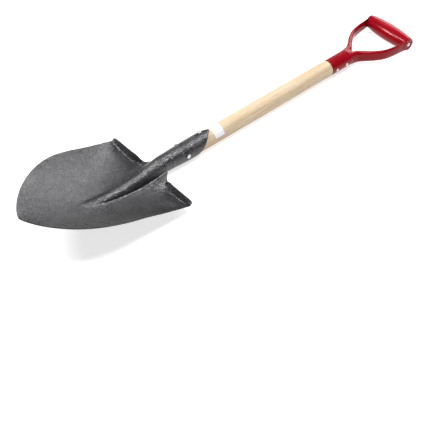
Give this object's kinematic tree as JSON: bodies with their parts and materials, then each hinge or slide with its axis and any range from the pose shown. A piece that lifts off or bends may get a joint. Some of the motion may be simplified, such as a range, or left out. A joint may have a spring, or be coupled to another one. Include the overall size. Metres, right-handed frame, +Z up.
{
  "type": "round point shovel",
  "caption": "Round-point digging shovel lying on its back: pressed steel head with foot treads and riveted socket, straight wooden shaft, pressed steel yoke with a barrel grip.",
  "frame": {"origin": "on the ground under the middle of the tool's length and width, with the tool lying on its back", "axes": "+X along the shaft from the blade's point to the grip, +Z up, the way the hollow side of the blade faces, Y = 0 the plane of symmetry"},
  "size_m": [0.9749, 0.2388, 0.0892],
  "materials": {
    "head_paint": "semi-gloss dark grey paint with a fine hammered texture",
    "shaft_wood": "pale straight-grained wood, sanded and lightly sealed",
    "label_film": "blank white film label",
    "handle_enamel": "deep red gloss enamel",
    "fastener_steel": "bright steel, hammered heads"
  },
  "bodies": {
    "root": {"blade_head": "head_paint", "shaft": "shaft_wood", "shaft_label": "label_film", "yoke": "handle_enamel", "grip": "handle_enamel", "grip_rod": "fastener_steel", "socket_cross_rivet": "fastener_steel", "socket_front_rivet": "fastener_steel", "yoke_rivet_lower": "fastener_steel", "yoke_rivet_upper": "fastener_steel"}
  },
  "joints": []
}
